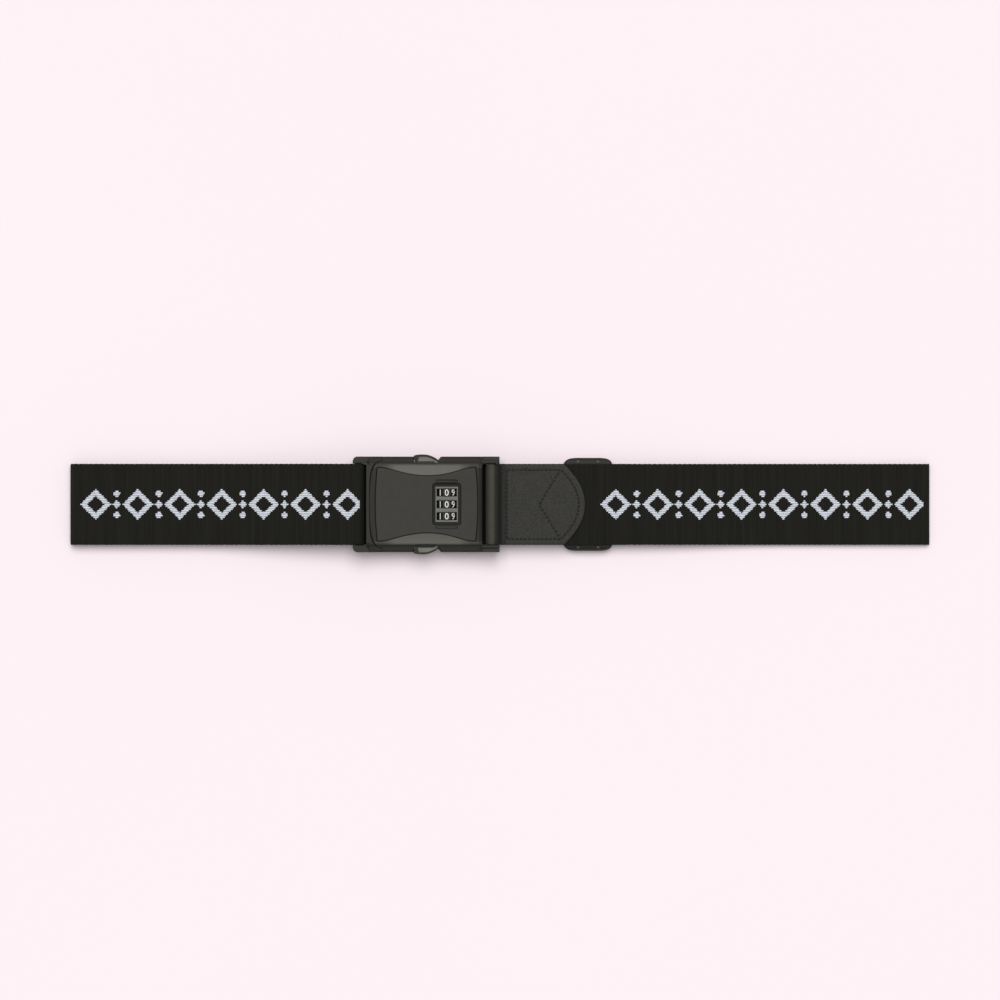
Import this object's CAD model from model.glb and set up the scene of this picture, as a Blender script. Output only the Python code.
"""Luggage strap, laid flat as a closed loop: its looks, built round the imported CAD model.

Lengths in this file are in millimetres and turned into metres by MM when a mesh is made.
+X runs along the strap, +Y across it, +Z up. The origin is the centre of the footprint.
"""
import math

import bpy
import numpy as np
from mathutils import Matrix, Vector
from mathutils.geometry import delaunay_2d_cdt


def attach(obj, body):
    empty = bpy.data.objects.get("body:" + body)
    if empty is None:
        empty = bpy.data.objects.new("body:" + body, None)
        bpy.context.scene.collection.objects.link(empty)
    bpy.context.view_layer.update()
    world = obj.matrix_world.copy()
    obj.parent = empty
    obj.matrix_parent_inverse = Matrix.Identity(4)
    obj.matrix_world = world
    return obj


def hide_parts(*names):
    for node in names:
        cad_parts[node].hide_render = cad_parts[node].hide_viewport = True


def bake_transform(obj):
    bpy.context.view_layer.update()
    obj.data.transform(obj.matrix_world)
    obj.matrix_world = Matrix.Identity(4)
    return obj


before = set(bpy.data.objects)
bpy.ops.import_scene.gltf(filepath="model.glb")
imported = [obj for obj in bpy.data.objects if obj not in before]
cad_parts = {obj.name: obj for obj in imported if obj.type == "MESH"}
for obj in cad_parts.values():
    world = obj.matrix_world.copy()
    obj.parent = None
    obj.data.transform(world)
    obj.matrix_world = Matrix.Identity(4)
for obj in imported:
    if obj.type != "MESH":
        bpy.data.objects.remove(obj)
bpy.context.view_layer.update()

MM = 0.001

# ---- Driving sizes, the same as the CAD's ----
HALF_LENGTH = 266.0
WEB_WIDTH = 50.0
WEB_T = 1.4
LAYER_STEP = WEB_T + 0.3
LEATHER_T = 1.4
OUTER_Z = WEB_T / 2
INNER_Z = OUTER_Z + LAYER_STEP
BAR_Z = 11.9
WRAP_R = 2.2 + 0.3 + WEB_T / 2
MALE_BAR_X = -87.6
FEMALE_BAR_X = -5.2
DIAL_X, DIAL_Z, DIAL_R, DIAL_PITCH = -32.8, 13.9, 6.8, 7.3
TAB_START, TAB_STRAIGHT, TAB_TIP, TAB_WEB_Z = 5.0, 39.4, 52.5, 9.7
GLIDE_LEFT, GLIDE_RIGHT, GLIDE_HALF_WIDTH, GLIDE_BAR = 39.7, 69.3, 28.7, 3.8
GLIDE_MIDDLE = (GLIDE_LEFT + GLIDE_RIGHT) / 2
PANEL_TOP = 20.0
SHELL_TOP = 19.0
SIDE = 29.5

RIB = 1.24  # pitch of the webbing's ribs
ROW = 1.0  # pitch of the motif's floats across the strap


# ======================================================================
# Materials
# ======================================================================
class Nodes:
    """A material's node tree with short calls for what is used here."""

    def __init__(self, name):
        self.material = bpy.data.materials.new(name)
        self.material.use_nodes = True
        self.tree = self.material.node_tree
        self.shader = self.tree.nodes["Principled BSDF"]

    def node(self, kind, inputs=None, **settings):
        made = self.tree.nodes.new(kind)
        for key, value in settings.items():
            setattr(made, key, value)
        for key, value in (inputs or {}).items():
            if isinstance(value, bpy.types.NodeSocket):
                self.tree.links.new(value, made.inputs[key])
            else:
                made.inputs[key].default_value = value
        return made

    def link(self, source, socket):
        self.tree.links.new(source, self.shader.inputs[socket])

    def math(self, operation, a, b=0.0):
        return self.node("ShaderNodeMath", {0: a, 1: b}, operation=operation).outputs[0]

    def tinted(self, colour, attribute, other):
        """Fade a colour towards another by the value of a point attribute."""
        fade = self.node("ShaderNodeAttribute", attribute_name=attribute).outputs["Fac"]
        mix = self.node("ShaderNodeMixRGB", {"Fac": fade, "Color1": colour, "Color2": (*other, 1)})
        return mix.outputs[0]

    def noise(self, scale, detail=4.0, roughness=0.6, vector=None):
        inputs = {"Scale": scale, "Detail": detail, "Roughness": roughness}
        inputs["Vector"] = vector or self.place()
        return self.node("ShaderNodeTexNoise", inputs).outputs["Fac"]

    def place(self):
        return self.node("ShaderNodeTexCoord").outputs["Object"]

    def uv(self):
        return self.node("ShaderNodeUVMap", uv_map="UVMap").outputs[0]

    def ramp(self, factor, stops):
        made = self.node("ShaderNodeValToRGB", {"Fac": factor})
        elements = made.color_ramp.elements
        while len(elements) < len(stops):
            elements.new(0.5)
        for element, (position, colour) in zip(elements, stops):
            element.position = position
            element.color = (*colour, 1)
        return made.outputs["Color"]

    def bump(self, height, strength, distance_mm, under=None):
        inputs = {"Height": height, "Strength": strength, "Distance": distance_mm * MM}
        if under is not None:
            inputs["Normal"] = under
        return self.node("ShaderNodeBump", inputs).outputs[0]


def shade(colour, factor):
    return tuple(c * factor for c in colour)


SCOOP_GREY = (0.098, 0.097, 0.083)
NEAR_BLACK = (0.004, 0.004, 0.0035)


def mark(piece, name, value_at):
    """Store value_at(x, y, z), with the place in millimetres, as a point attribute."""
    layer = piece.data.attributes.new(name, "FLOAT", "POINT")
    for vertex, item in zip(piece.data.vertices, layer.data):
        item.value = value_at(*(vertex.co / MM))


def plastic_material(name, colour, roughness=0.5, grain=1.0):
    """Moulded plastic: a fine spark-eroded grain, faint mottling and worn, lighter edges.

    The point attributes "pale" and "crease" fade it towards the scoops' grey and towards black.
    """
    m = Nodes(name)
    m.shader.inputs["Specular IOR Level"].default_value = 0.24
    mottle = m.noise(220, 5)
    spark = m.noise(5200, 2, 0.5)
    base = m.ramp(mottle, [(0.3, shade(colour, 0.88)), (0.7, shade(colour, 1.12))])
    worn = m.math("SUBTRACT", m.node("ShaderNodeNewGeometry").outputs["Pointiness"], 0.5)
    edge = m.math("MULTIPLY", m.math("MAXIMUM", worn, 0.0), 4.0)
    lighter = (*shade(colour, 2.0), 1)
    mix = m.node("ShaderNodeMixRGB", {"Fac": edge, "Color1": base, "Color2": lighter})
    m.link(m.tinted(m.tinted(mix.outputs[0], "pale", SCOOP_GREY), "crease", NEAR_BLACK), "Base Color")
    span = m.node("ShaderNodeMapRange", {"Value": mottle})
    span.inputs["To Min"].default_value = roughness - 0.06
    span.inputs["To Max"].default_value = roughness + 0.08
    m.link(span.outputs[0], "Roughness")
    m.link(m.bump(spark, 0.25 * grain, 0.05, m.bump(mottle, 0.08, 0.2)), "Normal")
    return m.material


def webbing_material(name="webbing_black", colour=(0.0105, 0.0102, 0.0078)):
    """Woven polyester: weft ribs across the strap, with warp ends passing over them in turn."""
    m = Nodes(name)
    m.shader.inputs["Specular IOR Level"].default_value = 0.12
    m.shader.inputs["Sheen Weight"].default_value = 0.02
    m.shader.inputs["Sheen Roughness"].default_value = 0.5
    u, v = m.node("ShaderNodeSeparateXYZ", {0: m.uv()}).outputs[:2]
    rib = m.math("SINE", m.math("MULTIPLY", u, 2 * math.pi / (RIB * MM)))
    ends = m.math("SINE", m.math("MULTIPLY", v, 2 * math.pi / (0.5 * MM)))
    floats = m.math("MULTIPLY", rib, ends)
    fibre = m.noise(1500, 3, 0.6, m.uv())
    drawn_out = m.node("ShaderNodeCombineXYZ", {0: u, 1: m.math("MULTIPLY", v, 0.04)}).outputs[0]
    uneven = m.noise(420, 2, 0.5, drawn_out)  # each weft thread has its own tone
    tone = m.math("ADD", m.math("MULTIPLY", floats, 0.16), m.math("MULTIPLY", fibre, 0.5))
    tone = m.math("ADD", tone, m.math("MULTIPLY", uneven, 0.65))
    tone = m.math("ADD", tone, m.math("MULTIPLY", rib, 0.14))
    span = [(0.3, shade(colour, 0.62)), (0.62, colour), (0.95, shade(colour, 1.75))]
    m.link(m.ramp(tone, span), "Base Color")
    rough = m.node("ShaderNodeMapRange", {"Value": fibre})
    rough.inputs["To Min"].default_value = 0.7
    rough.inputs["To Max"].default_value = 0.95
    m.link(rough.outputs[0], "Roughness")
    m.link(m.bump(fibre, 0.3, 0.08, m.bump(floats, 0.5, 0.08)), "Normal")
    return m.material


def float_material():
    """The motif's pale floats: smooth filament threads with the dark ground between them."""
    m = Nodes("webbing_white")
    m.shader.inputs["Specular IOR Level"].default_value = 0.35
    u, v = m.node("ShaderNodeSeparateXYZ", {0: m.uv()}).outputs[:2]
    stretched = m.node("ShaderNodeCombineXYZ", {0: m.math("MULTIPLY", u, 0.25), 1: v}).outputs[0]
    filament = m.noise(5200, 3, 0.6, stretched)
    patch = m.noise(420, 3, 0.5, m.uv())
    rows = m.math("COSINE", m.math("MULTIPLY", v, 2 * math.pi / (ROW * MM)))
    tone = m.math("ADD", m.math("MULTIPLY", filament, 0.5), m.math("MULTIPLY", patch, 0.5))
    tone = m.math("ADD", tone, m.math("MULTIPLY", rows, 0.12))
    m.link(
        m.ramp(tone, [(0.3, (0.40, 0.43, 0.48)), (0.5, (0.62, 0.66, 0.72)), (0.7, (0.74, 0.77, 0.83))]),
        "Base Color",
    )
    m.shader.inputs["Roughness"].default_value = 0.62
    m.link(m.bump(filament, 0.5, 0.06), "Normal")
    return m.material


def leather_material():
    """Dark pebbled leather: rounded grain cells with fine creases, lighter on their tops."""
    m = Nodes("leather_dark")
    m.shader.inputs["Specular IOR Level"].default_value = 0.3
    colour = (0.023, 0.0225, 0.0165)
    warp = m.noise(900, 2)
    place = m.node("ShaderNodeVectorMath", {0: m.uv(), 1: (0, 0, 0)}, operation="ADD")
    shift = m.math("MULTIPLY", warp, 0.0004)
    m.tree.links.new(m.node("ShaderNodeCombineXYZ", {0: shift, 1: shift}).outputs[0], place.inputs[1])
    cells = m.node("ShaderNodeTexVoronoi", {"Vector": place.outputs[0], "Scale": 1500.0})
    pebble = m.math("SUBTRACT", 1.0, cells.outputs["Distance"])
    pores = m.noise(3800, 3, 0.7, m.uv())
    cloudy = m.noise(120, 4, 0.6, m.uv())
    tone = m.math("ADD", m.math("MULTIPLY", pebble, 0.5), m.math("MULTIPLY", cloudy, 0.3))
    tone = m.math("ADD", tone, m.math("MULTIPLY", pores, 0.3))
    span = [(0.35, shade(colour, 0.65)), (0.62, colour), (0.9, shade(colour, 1.6))]
    grained = m.tinted(m.ramp(tone, span), "pale", shade(colour, 2.0))
    m.link(m.tinted(grained, "crease", shade(colour, 0.25)), "Base Color")
    rough = m.node("ShaderNodeMapRange", {"Value": pebble})
    rough.inputs["To Min"].default_value = 0.75
    rough.inputs["To Max"].default_value = 0.5
    m.link(rough.outputs[0], "Roughness")
    m.link(m.bump(pores, 0.2, 0.05, m.bump(pebble, 0.75, 0.18)), "Normal")
    return m.material


def thread_material():
    m = Nodes("thread_dark")
    m.shader.inputs["Roughness"].default_value = 0.75
    twist = m.noise(2600, 3, 0.6)
    m.link(m.ramp(twist, [(0.35, (0.0015, 0.0015, 0.001)), (0.7, (0.005, 0.005, 0.004))]), "Base Color")
    m.link(m.bump(twist, 0.4, 0.08), "Normal")
    return m.material


def digit_material():
    m = Nodes("digit_white")
    m.shader.inputs["Roughness"].default_value = 0.45
    wear = m.noise(2400, 3)
    m.link(m.ramp(wear, [(0.3, (0.62, 0.62, 0.60)), (0.6, (0.85, 0.85, 0.83))]), "Base Color")
    m.link(m.bump(wear, 0.1, 0.03), "Normal")
    return m.material


def metal_material(name, colour, roughness):
    """Plated or turned metal: brushed streaks, a little tarnish."""
    m = Nodes(name)
    m.shader.inputs["Metallic"].default_value = 1.0
    scaled = m.node("ShaderNodeMapping", {"Vector": m.place(), "Scale": (1, 14, 1)}).outputs[0]
    streak = m.noise(420, 3, 0.6, scaled)
    tarnish = m.noise(260, 4)
    m.link(m.ramp(tarnish, [(0.3, shade(colour, 0.75)), (0.65, colour)]), "Base Color")
    span = m.node("ShaderNodeMapRange", {"Value": streak})
    span.inputs["To Min"].default_value = roughness - 0.08
    span.inputs["To Max"].default_value = roughness + 0.12
    m.link(span.outputs[0], "Roughness")
    m.link(m.bump(streak, 0.15, 0.04), "Normal")
    return m.material


def floor_material():
    m = Nodes("floor_pale")
    m.shader.inputs["Roughness"].default_value = 0.9
    m.shader.inputs["Specular IOR Level"].default_value = 0.0
    m.link(m.ramp(m.noise(3, 2), [(0.0, (0.93, 0.83, 0.865)), (1.0, (0.94, 0.84, 0.875))]), "Base Color")
    return m.material


WEBBING = webbing_material()
FLOATS = float_material()
LEATHER = leather_material()
THREAD = thread_material()
DIGIT = digit_material()
PLASTIC = plastic_material("plastic_shell", (0.0125, 0.0122, 0.0092), 0.5)
PANEL = plastic_material("plastic_panel", (0.034, 0.032, 0.027), 0.62, 1.6)
PAD = plastic_material("plastic_pad", (0.155, 0.155, 0.131), 0.5)
DARK = plastic_material("plastic_recess", (0.008, 0.008, 0.0065), 0.6)
BEZEL = plastic_material("plastic_bezel", (0.115, 0.114, 0.100), 0.4)
DIAL = plastic_material("plastic_dial", (0.006, 0.006, 0.006), 0.3, 0.5)
STEEL = metal_material("steel_plated", (0.56, 0.57, 0.58), 0.3)
BRASS = metal_material("brass_turned", (0.70, 0.55, 0.28), 0.3)


# ======================================================================
# Mesh making
# ======================================================================
def make_piece(name, vertices, faces, material, body, uvs=None, smooth=True):
    """A mesh object from vertices in millimetres; uvs holds one pair of metres for each vertex."""
    mesh = bpy.data.meshes.new(name)
    mesh.from_pydata((np.asarray(vertices, float) * MM).tolist(), [], [list(f) for f in faces])
    mesh.validate()
    if uvs is not None:
        layer = mesh.uv_layers.new(name="UVMap")
        corners = np.empty(len(mesh.loops), int)
        mesh.loops.foreach_get("vertex_index", corners)
        layer.data.foreach_set("uv", np.asarray(uvs, np.float32)[corners].ravel())
    mesh.shade_smooth() if smooth else mesh.shade_flat()
    mesh.materials.append(material)
    piece = bpy.data.objects.new(name, mesh)
    bpy.context.scene.collection.objects.link(piece)
    if body:
        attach(piece, body)
    return piece


def sharpen(piece, degrees=35):
    """Smooth faces with sharp edges where the surface turns by more than this."""
    piece.data.set_sharp_from_angle(angle=math.radians(degrees))


def arc(x, z, r, start, end, steps=24):
    angles = np.radians(np.linspace(start, end, steps + 1))
    return list(zip(x + r * np.cos(angles), z + r * np.sin(angles)))


def slope(x0, z0, x1, z1, steps=24):
    t = np.linspace(0, 1, steps + 1)
    return list(zip(x0 + (x1 - x0) * t, z0 + (z1 - z0) * t * t * (3 - 2 * t)))


def resample(path, step):
    """Evenly spaced points along a path, and how far along it each lies."""
    points = np.array(path, float)
    keep = np.r_[True, np.hypot(*np.diff(points, axis=0).T) > 1e-4]
    points = points[keep]
    far = np.r_[0, np.cumsum(np.hypot(*np.diff(points, axis=0).T))]
    count = max(2, int(round(far[-1] / step)) + 1)
    s = np.linspace(0, far[-1], count)
    return np.c_[np.interp(s, far, points[:, 0]), np.interp(s, far, points[:, 1])], s


def normals_of(points):
    along = np.gradient(points, axis=0)
    along /= np.linalg.norm(along, axis=1)[:, None]
    return np.c_[-along[:, 1], along[:, 0]]


def sweep(points, s, section, name, material, body):
    """A closed solid: section(i, s) gives (across, off the path) for each station's ring."""
    normal = normals_of(points)
    rings = [section(i, s[i]) for i in range(len(s))]
    n = len(rings[0])
    vertices = np.empty((len(s) * n, 3))
    uvs = np.empty((len(s) * n, 2))
    for i, ring in enumerate(rings):
        across, off = np.asarray(ring).T
        rows = slice(i * n, (i + 1) * n)
        vertices[rows, 0] = points[i, 0] + off * normal[i, 0]
        vertices[rows, 1] = across
        vertices[rows, 2] = points[i, 1] + off * normal[i, 1]
        uvs[rows, 0] = s[i] * MM
        uvs[rows, 1] = across * MM
    index = np.arange(len(s) * n).reshape(len(s), n)
    a, b = index[:-1], index[1:]
    quads = np.stack([a, np.roll(a, -1, 1), np.roll(b, -1, 1), b], -1).reshape(-1, 4).tolist()
    half = n // 2
    for ring, flip in ((index[0], True), (index[-1], False)):
        for k in range(half - 1):  # end caps: quads between the top row and the bottom row
            quad = [ring[k], ring[k + 1], ring[n - 2 - k], ring[n - 1 - k]]
            quads.append([int(q) for q in (quad[::-1] if flip else quad)])
    return make_piece(name, vertices, quads, material, body, uvs)


# ======================================================================
# Webbing
# ======================================================================
ACROSS = np.r_[-25.0, -24.8, -24.3, np.linspace(-23.4, 23.4, 9), 24.3, 24.8, 25.0]
RIB_RISE = 0.07
SCALLOP = 2.5 * RIB  # pitch of the selvage's scallops
SELVAGE_SWAY = 0.004  # how much of its width the selvage moves in and out
EDGE_DROP = np.r_[0.5, 0.25, 0.05, np.zeros(9), 0.05, 0.25, 0.5]


def ribbed_section(_, far):
    """Flat webbing: ribs on both faces in step, and a selvage that scallops with them."""
    wave = math.sin(2 * math.pi * far / RIB)
    rib = RIB_RISE * wave
    scallop = math.sin(2 * math.pi * far / SCALLOP)
    across = ACROSS * (1 + SELVAGE_SWAY * (wave + scallop) * (np.abs(ACROSS) > 24))
    top = WEB_T / 2 - EDGE_DROP * 0.9 - RIB_RISE + rib
    low = -WEB_T / 2 + EDGE_DROP * 0.9 + RIB_RISE - rib
    return np.r_[np.c_[across, top], np.c_[across[::-1], low[::-1]]]


def webbing(name, path, body, nodes):
    points, s = resample(path, RIB / 4)
    piece = sweep(points, s, ribbed_section, name, WEBBING, body)
    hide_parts(*nodes)
    return piece


LEFT_FOLD_X, LEFT_FOLD_Z, LEFT_OUTER_R, LEFT_INNER_R = -HALF_LENGTH + 3.9, 3.9, 3.2, 1.5
RIGHT_FOLD_X, RIGHT_FOLD_Z, RIGHT_FOLD_R = HALF_LENGTH - 2.2, 2.2, 1.5
LEFT_JOIN, MIDDLE_JOIN, GLIDE_JOIN, RIGHT_JOIN = -250.0, -85.0, 80.0, 250.0
LEFT_TOP_Z = LEFT_FOLD_Z + LEFT_OUTER_R


def left_top_path():
    """The top layer from the left fold up to the male bar."""
    return [
        *arc(LEFT_FOLD_X, LEFT_FOLD_Z, LEFT_OUTER_R, 270, 90, 36),
        (-210, LEFT_TOP_Z),
        *slope(-190, LEFT_TOP_Z, MALE_BAR_X - 6, BAR_Z + WRAP_R, 60),
    ]


def right_top_path():
    """The top layer from the right fold to the end under the leather tab."""
    low = RIGHT_FOLD_Z + RIGHT_FOLD_R
    return [
        *arc(RIGHT_FOLD_X, RIGHT_FOLD_Z, RIGHT_FOLD_R, -90, 90, 30),
        (205, low),
        *slope(180, low, GLIDE_RIGHT + 2, TAB_WEB_Z - 1.2, 60),
        *slope(GLIDE_RIGHT, TAB_WEB_Z - 1.2, TAB_TIP + 2.5, TAB_WEB_Z, 12),
        (TAB_START + 3, TAB_WEB_Z),
    ]


def make_webbing():
    inner_top = LEFT_FOLD_Z + LEFT_INNER_R
    webbing(
        "webbing_left_loop",
        [
            (LEFT_JOIN, OUTER_Z),
            *left_top_path(),
            *arc(MALE_BAR_X, BAR_Z, WRAP_R, 90, -90, 36),
            *slope(MALE_BAR_X - 6, BAR_Z - WRAP_R, -190, inner_top, 60),
            (-210, inner_top),
            *arc(LEFT_FOLD_X, LEFT_FOLD_Z, LEFT_INNER_R, 90, 270, 24),
            (LEFT_JOIN, INNER_Z),
        ],
        "male",
        ["webbing_left"],
    )
    outer = webbing(
        "webbing_outer_left", [(LEFT_JOIN, OUTER_Z), (MIDDLE_JOIN, OUTER_Z)], None, ["webbing_under"]
    )
    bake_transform(outer)
    inner = webbing(
        "webbing_inner_left", [(LEFT_JOIN, INNER_Z), (MIDDLE_JOIN, INNER_Z)], None, ["webbing_inner"]
    )
    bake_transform(inner)

    over_bar = 2.2 + 0.3 + WEB_T / 2
    first_bar = GLIDE_LEFT + GLIDE_BAR / 2
    last_bar = GLIDE_RIGHT - GLIDE_BAR / 2
    dip = 1.2
    through = webbing(
        "webbing_through_glide",
        [
            (MIDDLE_JOIN, OUTER_Z),
            *slope(32, OUTER_Z, first_bar - 2, over_bar, 16),
            *slope(first_bar + 1.5, over_bar, GLIDE_MIDDLE - 4, dip, 16),
            *slope(GLIDE_MIDDLE + 4, dip, last_bar - 2, over_bar, 16),
            *slope(last_bar + 1.5, over_bar, 77, OUTER_Z, 16),
            (GLIDE_JOIN, OUTER_Z),
        ],
        None,
        ["webbing_in_glide", "webbing_under"],
    )
    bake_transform(through)
    loop_low, loop_high = dip + LAYER_STEP, 6.1
    loop_r = (loop_high - loop_low) / 2
    sewn = webbing(
        "webbing_sewn_round_glide",
        [
            (MIDDLE_JOIN, INNER_Z),
            (24, INNER_Z),
            *slope(28, INNER_Z, first_bar - 2.5, over_bar + LAYER_STEP, 16),
            *slope(first_bar + 2.5, over_bar + LAYER_STEP, GLIDE_MIDDLE - 3, loop_high, 10),
            *arc(GLIDE_MIDDLE + 1.2, loop_low + loop_r, loop_r, 90, -90, 24),
            (GLIDE_MIDDLE - 5, loop_low),
        ],
        None,
        ["webbing_sewn_end", "webbing_inner"],
    )
    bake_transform(sewn)
    back = webbing(
        "webbing_bottom_back",
        [(GLIDE_JOIN, OUTER_Z), (RIGHT_JOIN, OUTER_Z)],
        None,
        ["webbing_bottom_right"],
    )
    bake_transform(back)
    webbing(
        "webbing_right_loop", [(RIGHT_JOIN, OUTER_Z), *right_top_path()], "housing", ["webbing_right"]
    )


# ---- The woven motif: open diamonds and short columns of dots, all of it plain geometry ----
MOTIF_HALF = 9.5
MOTIF_STROKE = 3.4
MOTIF_PITCH = 26.0
CELL_X = 0.62
FLOAT_RISE = 0.18


def in_motif(x, y):
    """Whether the pale floats show at a point; x is counted from the first diamond's middle."""
    place = x / MOTIF_PITCH
    near = x - MOTIF_PITCH * round(place)
    diamond = abs(near) + abs(y)
    if MOTIF_HALF - MOTIF_STROKE * 1.25 <= diamond <= MOTIF_HALF:
        return True
    between = x - MOTIF_PITCH * (math.floor(place) + 0.5)
    return any(abs(between) + abs(y - 6.6 * k) <= 2.5 for k in (-1, 0, 1))


def surface_at(path, x):
    """Height of the webbing's upper face above x on a path that runs one way along X."""
    points = np.array(path, float)
    order = np.argsort(points[:, 0])
    return np.interp(x, points[order, 0], points[order, 1]) + WEB_T / 2


def motif(name, path, x_from, x_to, first, body):
    """Each run of cells along X is one float: a low rounded ridge, a little proud of the ribs."""
    columns = np.arange(x_from, x_to, CELL_X)
    rows = np.arange(-MOTIF_HALF, MOTIF_HALF, ROW) + ROW / 2
    vertices, faces, uvs = [], [], []
    profile = [(-0.48, -0.25), (-0.37, 0.6), (0.0, 1.0), (0.37, 0.6), (0.48, -0.25)]
    for y in rows:
        inside = [in_motif(x + CELL_X / 2 - first, y) for x in columns] + [False]
        start = None
        for k, shown in enumerate(inside):
            if shown and start is None:
                start = k
            if shown or start is None:
                continue
            stations = np.arange(start, k + 1)
            xs = columns[0] + stations * CELL_X
            lift = np.minimum(1.0, np.minimum(stations - start, k - stations) * 0.8 + 0.35)
            heights = surface_at(path, xs)
            base = len(vertices)
            for x, z, rise in zip(xs, heights, lift):
                for v, h in profile:
                    vertices.append((x, y + v * ROW, z - 0.1 + FLOAT_RISE * h * rise + 0.02))
                    uvs.append((x * MM, (y + v * ROW) * MM))
            n = len(profile)
            for i in range(len(xs) - 1):
                for j in range(n):
                    a, b = base + i * n + j, base + i * n + (j + 1) % n
                    faces.append((a, a + n, b + n, b))
            last = base + (len(xs) - 1) * n
            faces.append(tuple(base + j for j in range(n)))
            faces.append(tuple(last + j for j in reversed(range(n))))
            start = None
    return make_piece(name, vertices, faces, FLOATS, body, uvs)


def make_motifs():
    motif("motif_left", left_top_path()[40:], -259.5, -86.8, -250.0, "male")
    motif("motif_right", right_top_path()[32:], 62.0, 262.0, 71.5, "housing")


# ======================================================================
# Leather tab
# ======================================================================
PATCH_Z = TAB_WEB_Z + (WEB_T + LEATHER_T) / 2 + 0.3
PATCH_LOW_Z = TAB_WEB_Z - (WEB_T + LEATHER_T) / 2 - 0.3


def tab_half_width(x):
    """Straight sides, then a bowed end: a parabola through the corners and the tip."""
    if x <= TAB_STRAIGHT:
        return WEB_WIDTH / 2
    share = min(1.0, (x - TAB_STRAIGHT) / (TAB_TIP - TAB_STRAIGHT))
    return max(0.4, WEB_WIDTH / 2 * math.sqrt(1 - share))


def make_leather():
    path = [
        (TAB_TIP, PATCH_Z),
        (TAB_START - 3.0, PATCH_Z),
        *slope(TAB_START - 3.6, PATCH_Z, FEMALE_BAR_X + 2.4, BAR_Z + 2.05, 10),
        *arc(FEMALE_BAR_X, BAR_Z, WRAP_R, 44, 270, 40),
        *slope(FEMALE_BAR_X + 0.4, BAR_Z - WRAP_R, TAB_START, PATCH_LOW_Z, 16),
        (TAB_TIP, PATCH_LOW_Z),
    ]
    points, s = resample(path, 0.5)
    spread = np.r_[-1.0, -0.996, -0.985, -0.96, np.linspace(-0.9, 0.9, 25), 0.96, 0.985, 0.996, 1.0]
    drop = np.r_[0.45, 0.2, 0.08, 0.02, np.zeros(25), 0.02, 0.08, 0.2, 0.45]

    def section(i, _):
        across = spread * tab_half_width(points[i, 0])
        tip = 1 - 0.4 * max(0.0, min(1.0, (points[i, 0] - TAB_TIP + 0.8) / 0.8))
        hand = LEATHER_T / 2 * tip
        # Stitching pulls the patch down along its rows and lets it crown between them.
        crown = 0.12 * (1 - (across / 25) ** 2) * (points[i, 0] > TAB_START) * (i < len(s) / 2)
        top = hand - drop + crown
        low = -hand + drop
        return np.r_[np.c_[across, top], np.c_[across[::-1], low[::-1]]]

    piece = sweep(points[::-1], s, lambda i, far: section_back(section, len(s), i), "leather_tab_skin",
                  LEATHER, "housing")
    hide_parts("leather_tab")
    # Dark in the hollow where the tab drops from the bar to the patch, and at its cut edges.
    def hollow(x, y, z):
        dip = smooth_step((x + 3.4) / 2.0) * smooth_step((TAB_START - 0.2 - x) / 1.6)
        return max(dip, 0.5 * smooth_step((abs(y) - 24.3) / 0.7))

    mark(piece, "crease", hollow)
    mark(piece, "pale", lambda x, y, z: 0.75 * smooth_step((-2.6 - x) / 1.5))
    make_stitches()


def section_back(section, count, i):
    """The same ring for a path that is walked from its other end, so its outside stays outside."""
    ring = section(count - 1 - i, 0)
    return np.c_[ring[:, 0], -ring[:, 1]][::-1]


def stitch_row(points, pitch=2.5, length=1.9):
    """Stitches along a line of plan points: (middle, direction) for each."""
    points = np.array(points, float)
    far = np.r_[0, np.cumsum(np.hypot(*np.diff(points, axis=0).T))]
    count = int(round(far[-1] / pitch))
    found = []
    for k in range(count):
        ends = [far[-1] * (k + 0.5) / count + side * length / 2 for side in (-1, 1)]
        a, b = [np.array([np.interp(e, far, points[:, axis]) for axis in (0, 1)]) for e in ends]
        found.append((a, b))
    return found


def make_stitches():
    """Thread seen as short sunk bars: each is a bowed, tapered strand with six sides."""
    inset_y, start_x, corner_x, peak_x, v_x = 21.4, 4.2, 37.6, 48.7, 24.2
    t = np.linspace(0, 1, 40)
    bow = np.c_[corner_x + (peak_x - corner_x) * (1 - (2 * t - 1) ** 2), inset_y * (1 - 2 * t)]
    rows = [
        [(start_x, -inset_y), (start_x, inset_y)],
        [(start_x, inset_y), (corner_x, inset_y)],
        [(start_x, -inset_y), (corner_x, -inset_y)],
        bow,
        [(corner_x - 1, inset_y - 1.2), (v_x, 0)],
        [(v_x, 0), (corner_x - 1, 1.2 - inset_y)],
    ]
    vertices, faces = [], []
    sides, radius = 6, 0.6
    # Along each stitch: how far, how thick, how high.
    stations = [
        (0.0, 0.4, -0.1), (0.18, 0.9, 0.06), (0.5, 1.0, 0.13), (0.82, 0.9, 0.06), (1.0, 0.4, -0.1),
    ]
    for row in rows:
        for a, b in stitch_row(row):
            along = (b - a) / np.linalg.norm(b - a)
            across = np.array([-along[1], along[0]])
            base = len(vertices)
            for share, size, lift in stations:
                middle = a + (b - a) * share
                z = PATCH_Z + LEATHER_T / 2 + 0.12 * (1 - (middle[1] / 25) ** 2) + lift
                for k in range(sides):
                    turn = 2 * math.pi * k / sides
                    side = across * radius * size * math.cos(turn)
                    vertices.append((*(middle + side), z + 0.24 * size * math.sin(turn)))
            for i in range(len(stations) - 1):
                for k in range(sides):
                    p, q = base + i * sides + k, base + i * sides + (k + 1) % sides
                    faces.append((p, q, q + sides, p + sides))
            faces.append(tuple(base + k for k in reversed(range(sides))))
            faces.append(tuple(base + 4 * sides + k for k in range(sides)))
    make_piece("tab_stitches", vertices, faces, THREAD, "housing")


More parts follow.
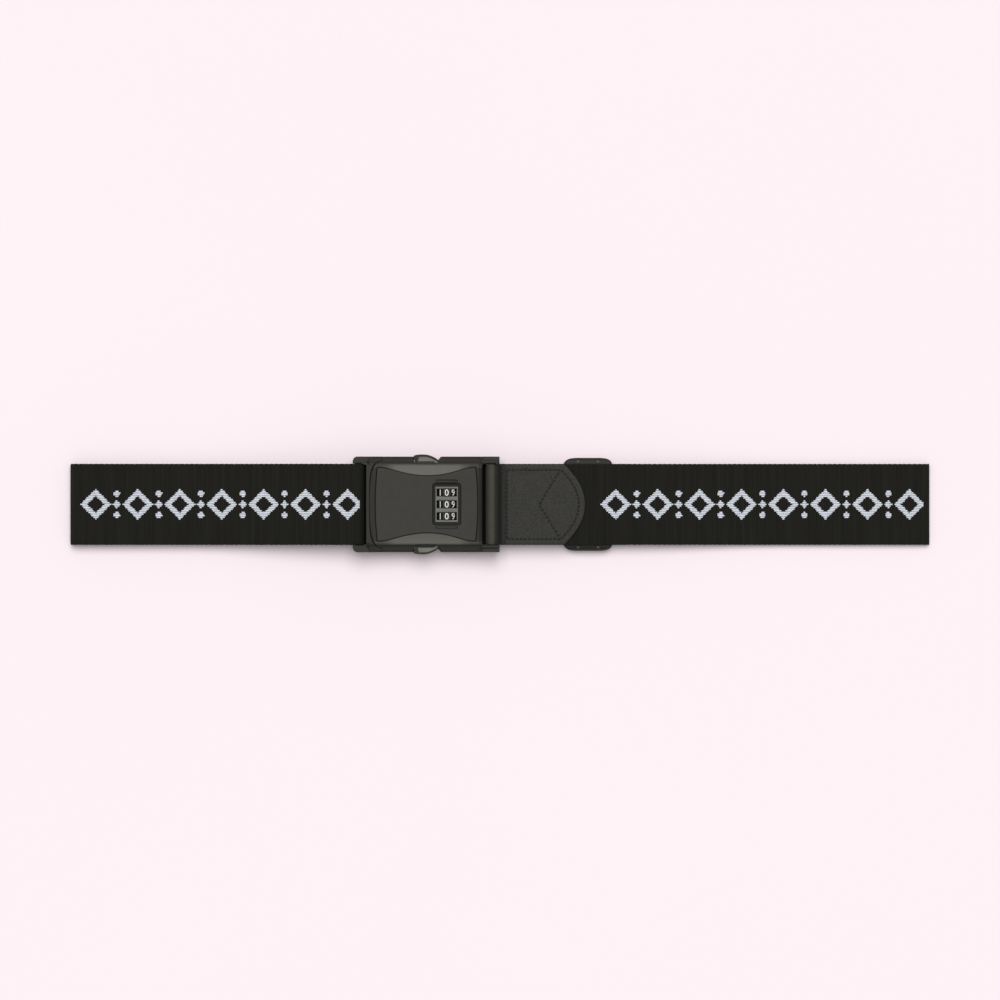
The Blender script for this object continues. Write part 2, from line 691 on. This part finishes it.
# ======================================================================
# Relief: a moulded part seen from above, with its outline, holes and shaped top
# ======================================================================
def loop_points(outline, step=0.45):
    """A closed outline walked at an even step, keeping its corners."""
    out = []
    for i, here in enumerate(outline):
        after = outline[(i + 1) % len(outline)]
        gap = math.dist(here, after)
        count = max(1, int(round(gap / step)))
        out += [(here[0] + (after[0] - here[0]) * k / count, here[1] + (after[1] - here[1]) * k / count)
                for k in range(count)]
    return np.array(out)


def distance_to(loops, points):
    best = np.full(len(points), 1e9)
    for loop in loops:
        a, b = loop, np.roll(loop, -1, 0)
        for p, q in zip(a, b):
            d = q - p
            t = np.clip(((points - p) @ d) / (d @ d + 1e-12), 0, 1)
            best = np.minimum(best, np.linalg.norm(points - (p + t[:, None] * d), axis=1))
    return best


def inside_of(loop, points):
    x, y = points.T
    hit = np.zeros(len(points), bool)
    for (x0, y0), (x1, y1) in zip(loop, np.roll(loop, -1, 0)):
        crosses = (y0 > y) != (y1 > y)
        hit ^= crosses & (x < (x1 - x0) * (y - y0) / (y1 - y0 + 1e-12) + x0)
    return hit


def relief(name, outline, top, bottom, material, body, holes=(), rounding=0.5, step=0.7):
    """A closed solid between a flat underside and top(x, y), its upper edges rounded over."""
    loops = [loop_points(outline), *[loop_points(h) for h in holes]]
    low, high = loops[0].min(0), loops[0].max(0)
    grid = np.stack(np.meshgrid(np.arange(low[0], high[0], step), np.arange(low[1], high[1], step)), -1)
    grid = grid.reshape(-1, 2)
    rings = []
    for loop in loops:
        ahead = np.roll(loop, -1, 0) - np.roll(loop, 1, 0)
        ahead /= np.linalg.norm(ahead, axis=1)[:, None] + 1e-12
        off = np.c_[-ahead[:, 1], ahead[:, 0]]
        for share in (0.1, 0.3, 0.62, 1.0):
            rings += [loop + off * rounding * share, loop - off * rounding * share]
    rings = np.concatenate(rings)

    def kept(points, clear):
        ok = inside_of(loops[0], points)
        for hole in loops[1:]:
            ok &= ~inside_of(hole, points)
        points = points[ok]
        return points[distance_to(loops, points) > clear]

    spots = np.concatenate([kept(rings, rounding * 0.08), kept(grid, rounding + step * 0.45)])
    edges, flat = [], []
    for loop in loops:
        base = len(flat)
        flat += [Vector(p) for p in loop]
        edges += [(base + i, base + (i + 1) % len(loop)) for i in range(len(loop))]
    flat += [Vector(p) for p in spots]
    found, _, tris, _, _, _ = delaunay_2d_cdt(flat, edges, [], 0, 1e-5, True)
    plan = np.array([tuple(p) for p in found])
    middles = np.array([plan[list(f)].mean(0) for f in tris])
    solid = inside_of(loops[0], middles)
    for hole in loops[1:]:
        solid &= ~inside_of(hole, middles)
    tris = [f for f, shown in zip(tris, solid) if shown]
    away = distance_to(loops, plan)
    z = np.array([top(x, y) for x, y in plan])
    reach = np.clip(1 - away / rounding, 0, 1)
    z = z - rounding * (1 - np.sqrt(np.maximum(0, 1 - reach**2)))
    n = len(plan)
    base_z = bottom(*plan.T) if callable(bottom) else np.full(n, float(bottom))
    vertices = np.r_[np.c_[plan, z], np.c_[plan, base_z]]
    faces = [tuple(f) for f in tris] + [tuple(i + n for i in reversed(f)) for f in tris]
    directed = {(f[i], f[(i + 1) % len(f)]) for f in tris for i in range(len(f))}
    for a, b in directed:
        if (b, a) not in directed:
            faces.append((b, a, a + n, b + n))
    piece = make_piece(name, vertices, faces, material, body)
    sharpen(piece, 50)
    return piece


def curve2(a, control, b, steps=14):
    t = np.linspace(0, 1, steps + 1)[:, None]
    a, control, b = map(np.array, (a, control, b))
    return [tuple(p) for p in (1 - t) ** 2 * a + 2 * t * (1 - t) * control + t**2 * b]


def curve3(a, c0, c1, b, steps=24):
    t = np.linspace(0, 1, steps + 1)[:, None]
    a, c0, c1, b = map(np.array, (a, c0, c1, b))
    u = 1 - t
    return [tuple(p) for p in u**3 * a + 3 * u * u * t * c0 + 3 * u * t * t * c1 + t**3 * b]


def clean(points):
    """The outline without repeated points."""
    out = []
    for p in points:
        if not out or math.dist(p, out[-1]) > 0.02:
            out.append((float(p[0]), float(p[1])))
    if math.dist(out[0], out[-1]) < 0.02:
        out.pop()
    return out


def rectangle(x0, x1, y0, y1, r=0.0, steps=6):
    if r == 0:
        return [(x0, y0), (x1, y0), (x1, y1), (x0, y1)]
    corners = [(x1 - r, y0 + r, -90), (x1 - r, y1 - r, 0), (x0 + r, y1 - r, 90), (x0 + r, y0 + r, 180)]
    return clean([p for cx, cy, a in corners for p in arc(cx, cy, r, a, a + 90, steps)])


# ---- Outlines of the buckle ----
def panel_outline(grow=0.0):
    y, waist = 22.4 + grow, 17.4 + grow
    left, right = -75.4 - grow, -15.2 + grow
    middle = -44.6
    upper = [
        *curve3((right, y), (right - 8, y + 0.4), (middle + 15, waist), (middle, waist)),
        *curve3((middle, waist), (middle - 15, waist), (left + 8, y + 0.4), (left, y)),
    ]
    return clean([
        *curve2((right, -y), (right + 2.4, 0), (right, y)),
        *upper,
        *curve2((left, y), (left - 2.4, 0), (left, -y)),
        *[(x, -py) for x, py in reversed(upper)],
    ])


def panel_edge(x):
    """How far from the middle line the panel's long edges are at x."""
    edge = np.array([p for p in panel_outline() if p[1] > 10])
    order = np.argsort(edge[:, 0])
    return float(np.interp(x, edge[order, 0], edge[order, 1]))


SHOULDER_X, SHOULDER_Y = -72.5, 26.8


def mouth_curve(grow=0.0):
    """The rounded mouth where the two halves meet, from the upper shoulder to the lower one."""
    x, y = SHOULDER_X - grow, SHOULDER_Y + grow
    upper = [
        *curve2((x, y), (-78.9 - grow, y - 0.4), (-79.9 - grow, 17)),
        *curve2((-79.9 - grow, 17), (-80.5 - grow, 8), (-80.6 - grow, 0)),
    ]
    return [*upper, *[(px, -py) for px, py in reversed(upper)]]


def notch(side):
    """The thumb opening, walked from its right end to its left end."""
    edge = [
        (-34.6, SIDE),
        *curve2((-37.4, 26.2), (-38.2, 25.0), (-40.6, 24.8)),
        *curve2((-50.0, 24.8), (-52.5, 24.9), (-53.1, 27.0)),
        (-53.25, SIDE),
    ]
    return [(x, side * y) for x, y in edge]


def housing_outline():
    rear_x = -11.0
    return clean([
        (rear_x, -SIDE + 0.6),
        (rear_x, SIDE - 0.6),
        (rear_x - 0.6, SIDE),
        *notch(1),
        (SHOULDER_X, SIDE),
        *mouth_curve(),
        (SHOULDER_X, -SIDE),
        *reversed(notch(-1)),
        (rear_x - 0.6, -SIDE),
    ])


SIDE_SLOPE_IN = 24.7  # where the sides start to fall away


def smooth_step(t):
    t = min(1.0, max(0.0, t))
    return t * t * (3 - 2 * t)


def side_fall(across):
    """How far the sides of both halves have fallen at a distance from the middle line."""
    return 5.0 * smooth_step((across - SIDE_SLOPE_IN) / (SIDE - SIDE_SLOPE_IN) * 0.9)


def shell_height(x, y):
    """The shell's upper face: flat border, scoops beside the panel, sides that fall away."""
    across = abs(y)
    z = SHELL_TOP
    edge = panel_edge(min(max(x, -75.0), -15.6))
    if across > edge and -74 < x < -16:
        scoop = (across - edge) / max(0.5, SIDE_SLOPE_IN - edge)
        depth = 1.1 * smooth_step((22.4 - edge) / 5.0)
        z -= depth * (1 - (1 - min(1.0, scoop)) ** 2)
    if across > SIDE_SLOPE_IN:
        z -= side_fall(across)
    if x < -77.6:
        z -= 0.25 * smooth_step((-77.6 - x) / 1.2)
    if x > -13.4:
        z -= 0.9 * smooth_step((x + 13.4) / 2.4)
    return z


def scoop_paleness(x, y, z):
    """The paler crescents between the panel's waist and the top of the sides."""
    across = abs(y)
    edge = panel_edge(min(max(x, -75.0), -15.6))
    waist = smooth_step((23.4 - edge) / 3.2) * smooth_step((z - 15.0) / 0.8)
    return waist * smooth_step((across - edge) / 0.6) * smooth_step((SIDE_SLOPE_IN + 0.5 - across) / 1.6)


def seam_shade(x, y, z):
    """Dark where the two halves meet."""
    seam = np.array(mouth_curve()[:20])
    off = np.hypot(seam[:, 0] - x, seam[:, 1] - abs(y)).min()
    return smooth_step((0.85 - off) / 0.5)


def paint_faces(piece, material, chosen):
    """Give the upward faces that chosen(x, y, z) picks, in millimetres, a second material."""
    piece.data.materials.append(material)
    for face in piece.data.polygons:
        x, y, z = face.center / MM
        if face.normal.z > 0.3 and chosen(x, y, z):
            face.material_index = len(piece.data.materials) - 1


def make_shells():
    window = rectangle(DIAL_X - 7.4, DIAL_X + 7.4, -11.5, 11.5)
    seat = panel_outline(0.35)
    shell = relief(
        "shell_upper", housing_outline(), shell_height, 12.0, PLASTIC, "housing",
        holes=[list(reversed(seat))], rounding=0.45,
    )
    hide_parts("housing_top")
    mark(shell, "pale", scoop_paleness)
    mark(shell, "crease", seam_shade)
    relief(
        "shell_panel_seat", panel_outline(0.6), lambda x, y: 17.9, 16.4, DARK, "housing",
        holes=[list(reversed(window))], rounding=0.1, step=2.0,
    )


def make_rear_lugs():
    """Rounded lugs beside the leather, stepped down from the shell, that hold the rear bar."""
    for name, side in (("lug_rear", 1), ("lug_front", -1)):
        outline = clean([
            (-12.4, 25.1),
            (-0.3, 25.1),
            *curve2((-0.3, 26.6), (-0.3, SIDE - 0.1), (-3.4, SIDE - 0.1), 8),
            (-12.4, SIDE - 0.1),
        ])
        if side < 0:
            outline = [(x, -y) for x, y in reversed(outline)]
        relief(
            name, outline, lambda x, y: 16.9 - 1.7 * smooth_step((abs(y) - 26.6) / 2.4), 7.3,
            PLASTIC, "housing", rounding=0.6, step=0.5,
        )


MOAT_X, MOAT_Y, MOAT_R = 8.75, 12.85, 1.6
BEZEL_X, BEZEL_Y = 6.95, 10.9
BAR_HALF_LENGTH, BAR_Y = 5.9, 14.1  # the raised bar above and below the dials


def panel_features(x, y):
    """How far a point is outside the sunken frame round the dials, and from a bar's middle line."""
    dx, dy = abs(x - DIAL_X), abs(y)
    moat = math.hypot(max(0.0, dx - MOAT_X + MOAT_R), max(0.0, dy - MOAT_Y + MOAT_R)) - MOAT_R
    return moat, math.hypot(max(0.0, dx - BAR_HALF_LENGTH), dy - BAR_Y)


def panel_height(x, y):
    """The face plate: flat, sunk round the dials, with a raised bar above and below them."""
    moat, bar = panel_features(x, y)
    z = PANEL_TOP - 1.0 * smooth_step(0.5 - moat / 0.5)
    groove = 0.25 * smooth_step((bar - 0.6) / 0.2) * (bar < 1.0)
    return z + 0.35 * smooth_step((0.6 - bar) / 0.25) - groove


def panel_shade(x, y, z):
    """Dark in the sunken frame round the dials, its walls, and the groove round each bar."""
    moat, bar = panel_features(x, y)
    groove = smooth_step((bar - 0.45) / 0.2) * smooth_step((1.25 - bar) / 0.3)
    return max(0.85 * smooth_step(0.6 - moat / 0.6), 0.8 * groove)


def make_panel():
    hole = rectangle(DIAL_X - BEZEL_X + 0.2, DIAL_X + BEZEL_X - 0.2, 0.2 - BEZEL_Y, BEZEL_Y - 0.2)
    panel = relief(
        "face_plate", panel_outline(), panel_height, 18.2, PANEL, "housing",
        holes=[list(reversed(hole))], rounding=0.35, step=0.45,
    )
    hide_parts("face_panel")
    mark(panel, "crease", panel_shade)
    # The bezel is a moulded grid: two rails along its sides and four bars across.
    left, right, half_window = DIAL_X - BEZEL_X, DIAL_X + BEZEL_X, 2.42
    grid = [(left, left + 0.75, -BEZEL_Y, BEZEL_Y), (right - 0.75, right, -BEZEL_Y, BEZEL_Y)]
    for k in (-1.5, -0.5, 0.5, 1.5):
        near, far = abs(k) - 0.5, abs(k) + 0.5
        low = near * DIAL_PITCH + half_window if abs(k) > 1 else half_window
        high = min(BEZEL_Y, far * DIAL_PITCH - half_window)
        side = math.copysign(1, k)
        grid.append((left + 0.5, right - 0.5, *sorted((side * low, side * high))))
    for k, (x0, x1, y0, y1) in enumerate(grid):
        bar = relief(f"bezel_bar_{k + 1}", rectangle(x0, x1, y0, y1), lambda x, y: PANEL_TOP - 0.1, 17.9,
                     BEZEL, "housing", rounding=0.15, step=1.0)
        if k == 0:
            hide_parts("dial_bezel")


def make_male_cap():
    inner = mouth_curve(0.06)
    outline = clean([
        (SHOULDER_X - 0.06, SIDE + 0.05),
        (-86.5, SIDE),
        *curve2((-86.5, SIDE), (-90.8, SIDE - 0.3), (-90.9, 25.2)),
        (-82.5, 25.2),
        *curve2((-82.5, 25.2), (-82.9, 0), (-82.5, -25.2), 10),
        (-90.9, -25.2),
        *curve2((-90.9, -25.2), (-90.8, 0.3 - SIDE), (-86.5, -SIDE)),
        (SHOULDER_X - 0.06, -SIDE - 0.05),
        *reversed(inner),
    ])

    def height(x, y):
        across = abs(y)
        z = SHELL_TOP - 0.1
        if across > SIDE_SLOPE_IN:
            z -= side_fall(across)
        lug_top = 16.3 - 1.6 * smooth_step((across - 27.2) / 2.4)
        return z + (min(z, lug_top) - z) * smooth_step((-80.4 - x) / 2.0)

    cap = relief(
        "male_cap", outline, height, 7.4, PLASTIC, "male", rounding=0.5, step=0.6,
    )
    mark(cap, "crease", seam_shade)


def make_prongs():
    """Thumb pads: a dark rim round a paler, ribbed face, on a sprung arm."""
    rim = clean([
        *curve2((-39.0, 25.2), (-37.6, 25.6), (-36.9, 26.3), 4),
        *curve2((-36.9, 26.3), (-40.6, 29.9), (-45.6, 30.7)),
        *curve2((-45.6, 30.7), (-50.6, 31.0), (-53.0, 30.2)),
        *curve2((-53.0, 30.2), (-53.8, 27.6), (-51.6, 25.4)),
    ])

    outer = np.array([p for p in rim if p[1] > 26.0])
    outer = outer[np.argsort(outer[:, 0])]

    def inset(x, y):
        """How far a point is inside the paler face, which keeps a rim from the outer edge."""
        edge = float(np.interp(x, outer[:, 0], outer[:, 1]))
        return min(edge - abs(y) - 1.05, x + 51.7 - 0.35 * (abs(y) - 25.0), -38.3 - x)

    def height(x, y):
        ribs = 0.12 * math.sin(2 * math.pi * x / 1.3)
        return 15.3 + smooth_step(inset(x, y) / 0.45) * (-0.7 + ribs)

    arm = [
        (-80.6, 22.6), (-50.5, 22.4), (-50.5, 15.3), (-48.5, 15.3), (-48.5, 22.4), (-40.6, 22.4),
        (-39.6, 25.6), (-41.0, 26.6), (-51.6, 26.6), (-53.0, 25.6), (-80.6, 25.4),
    ]
    for name, side in (("prong_rear", 1), ("prong_front", -1)):
        outline = rim if side > 0 else [(x, -y) for x, y in reversed(rim)]
        stem = arm if side > 0 else [(x, -y) for x, y in reversed(arm)]
        spring = relief(f"{name}_arm", stem, lambda x, y: 15.2, 8.0, PLASTIC, name,
                        rounding=0.4, step=1.2)
        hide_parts(name)
        pad = relief(f"{name}_pad", outline, height, 8.2, PLASTIC, name,
                     rounding=0.3, step=0.4)
        paint_faces(pad, PAD, lambda x, y, z: inset(x, y) > 0.1)


# ======================================================================
# Dials
# ======================================================================
def digit_mesh(character):
    """A digit as flat triangles about its own middle, one unit tall."""
    curve = bpy.data.curves.new("digit", "FONT")
    curve.body = character
    curve.resolution_u = 4
    curve.fill_mode = "FRONT"
    holder = bpy.data.objects.new("digit", curve)
    bpy.context.scene.collection.objects.link(holder)
    mesh = bpy.data.meshes.new_from_object(holder.evaluated_get(bpy.context.evaluated_depsgraph_get()))
    points = np.array([v.co[:2] for v in mesh.vertices])
    faces = [tuple(p.vertices) for p in mesh.polygons]
    bpy.data.objects.remove(holder)
    bpy.data.curves.remove(curve)
    bpy.data.meshes.remove(mesh)
    low, high = points.min(0), points.max(0)
    return (points - (low + high) / 2) / (high[1] - low[1]), faces


def make_dials():
    digits = [digit_mesh(str(k)) for k in range(10)]
    turn = 2 * math.pi / 10
    for dial in (1, 2, 3):
        middle = (2 - dial) * DIAL_PITCH
        body = f"dial_{dial}"
        make_wheel(f"{body}_wheel", middle, body)
        vertices, faces = [], []
        for k, (points, tris) in enumerate(digits):
            around = k * turn  # 0 is on top and the next digits follow towards -X
            for lift, flip in ((0.07, False), (-0.03, True)):
                base = len(vertices)
                for px, py in points:
                    angle = around - px * 3.7 / DIAL_R
                    r = DIAL_R + lift
                    vertices.append((
                        DIAL_X - r * math.sin(angle),
                        middle + py * 3.9,
                        DIAL_Z + r * math.cos(angle),
                    ))
                faces += [tuple(base + i for i in (reversed(t) if flip else t)) for t in tris]
        make_piece(f"{body}_digits", vertices, faces, DIGIT, body, smooth=False)


def make_wheel(name, middle, body):
    """Ten shallow facets, each a little hollow, with a fine raised line between them."""
    profile = [(-2.4, -0.3), (-2.1, 0.0), (2.1, 0.0), (2.4, -0.3)]
    inner = 3.5
    steps = 120
    vertices, faces = [], []
    for k in range(steps):
        angle = 2 * math.pi * k / steps
        # 0 in the middle of a facet, 1 on the line between two facets
        facet = abs(((k + steps / 20) % (steps / 10)) / (steps / 10) - 0.5) * 2
        line = 0.10 * max(0.0, 1 - (1 - facet) / 0.12) if facet > 0.88 else 0.0
        hollow = -0.08 * math.cos(math.pi * facet / 2)
        for y, drop in profile:
            r = DIAL_R - 0.06 + drop + (line + hollow) * (abs(y) < 2.2)
            vertices.append((DIAL_X - r * math.sin(angle), middle + y, DIAL_Z + r * math.cos(angle)))
        for y in (2.4, -2.4):
            x, z = DIAL_X - inner * math.sin(angle), DIAL_Z + inner * math.cos(angle)
            vertices.append((x, middle + y, z))
    n = 6
    for k in range(steps):
        after = (k + 1) % steps
        for j in range(n):
            a, b = k * n + j, k * n + (j + 1) % n
            faces.append((a, b, after * n + (j + 1) % n, after * n + j))
    wheel = make_piece(name, vertices, faces, DIAL, body)
    sharpen(wheel, 30)
    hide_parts(body)


# ======================================================================
# Glide
# ======================================================================
def make_glide_rails():
    """The moulded rails that show past both edges of the webbing, each with two small pips."""
    y_in, y_out = WEB_WIDTH / 2 - 1.2, GLIDE_HALF_WIDTH + 0.1
    for name, side in (("glide_rail_rear", 1), ("glide_rail_front", -1)):
        outline = clean([
            (GLIDE_LEFT + 0.4, y_in),
            (GLIDE_RIGHT - 0.4, y_in),
            *curve2((GLIDE_RIGHT - 0.4, y_in + 0.8), (GLIDE_RIGHT - 1.6, y_out), (GLIDE_RIGHT - 8, y_out)),
            *curve2((GLIDE_LEFT + 8, y_out), (GLIDE_LEFT + 1.6, y_out), (GLIDE_LEFT + 0.4, y_in + 0.8)),
        ])
        if side < 0:
            outline = [(x, -y) for x, y in reversed(outline)]

        def height(x, y):
            z = 6.3 - 1.1 * smooth_step((abs(y) - 26.6) / 2.0)
            for spot in (-6.2, 6.2):
                near = math.hypot(x - GLIDE_MIDDLE - spot, abs(y) - 26.4)
                z += 0.35 * smooth_step((0.9 - near) / 0.5)
            return z

        def on_pip(x, y, z):
            return smooth_step(1.6 - math.hypot(abs(x - GLIDE_MIDDLE) - 6.2, abs(y) - 26.4) / 0.7)

        rail = relief(name, outline, height, 3.2, PLASTIC, "glide", rounding=0.6, step=0.5)
        mark(rail, "pale", on_pip)


# ======================================================================
# CAD nodes that stay: softened edges and their materials
# ======================================================================
def finish_cad_node(node, material, bevel_mm):
    obj = bpy.data.objects[node]
    obj.data.materials.clear()
    obj.data.materials.append(material)
    if bevel_mm:
        soften = obj.modifiers.new("soft_edges", "BEVEL")
        soften.width = bevel_mm * MM
        soften.segments = 2
        soften.limit_method = "ANGLE"
        soften.angle_limit = math.radians(40)


def finish_cad_nodes():
    for node in ("housing_base", "male_frame", "tri_glide"):
        finish_cad_node(node, PLASTIC, 0.35)
    for node in ("dial_axle", "axle_bracket", "detent_spring", "lock_slide", "reset_pin"):
        finish_cad_node(node, STEEL, 0.1)
    for node in ("screw_mouth", "screw_rear", "screw_front"):
        finish_cad_node(node, STEEL, 0.1)
    for node in ("lock_spring", "reset_spring"):
        finish_cad_node(node, STEEL, 0)
    for dial in (1, 2, 3):
        finish_cad_node(f"code_sleeve_{dial}", BRASS, 0.08)


# ======================================================================
# Floor, light and camera
# ======================================================================
def make_stage():
    half = 6.0
    corners = [(-half, -half, 0), (half, -half, 0), (half, half, 0), (-half, half, 0)]
    mesh = bpy.data.meshes.new("floor")
    mesh.from_pydata(corners, [], [(0, 1, 2, 3)])
    mesh.materials.append(floor_material())
    floor = bpy.data.objects.new("floor", mesh)
    bpy.context.scene.collection.objects.link(floor)


def make_light():
    world = bpy.data.worlds.new("studio")
    world.use_nodes = True
    background = world.node_tree.nodes["Background"]
    background.inputs["Color"].default_value = (1.0, 0.985, 0.99, 1)
    background.inputs["Strength"].default_value = 0.42
    bpy.context.scene.world = world
    sun = bpy.data.lights.new("overhead", "SUN")
    sun.energy = 2.2
    sun.angle = math.radians(48)
    lamp = bpy.data.objects.new("overhead", sun)
    lamp.rotation_euler = Vector((0.0, 0.38, 1.0)).to_track_quat("Z", "Y").to_euler()
    bpy.context.scene.collection.objects.link(lamp)
    bpy.context.scene.view_settings.view_transform = "Standard"


def make_camera():
    """Straight down from far away, framed on a square 620 mm wide."""
    span, away = 0.620, 3.0
    data = bpy.data.cameras.new("camera")
    data.sensor_width = 36.0
    data.lens = data.sensor_width * away / span
    camera = bpy.data.objects.new("camera", data)
    camera.location = (0.0, 0.0027, away)
    bpy.context.scene.collection.objects.link(camera)
    bpy.context.scene.camera = camera


make_camera()
make_stage()
make_light()
make_webbing()
make_motifs()
make_leather()
make_shells()
make_rear_lugs()
make_panel()
make_male_cap()
make_prongs()
make_dials()
make_glide_rails()
finish_cad_nodes()
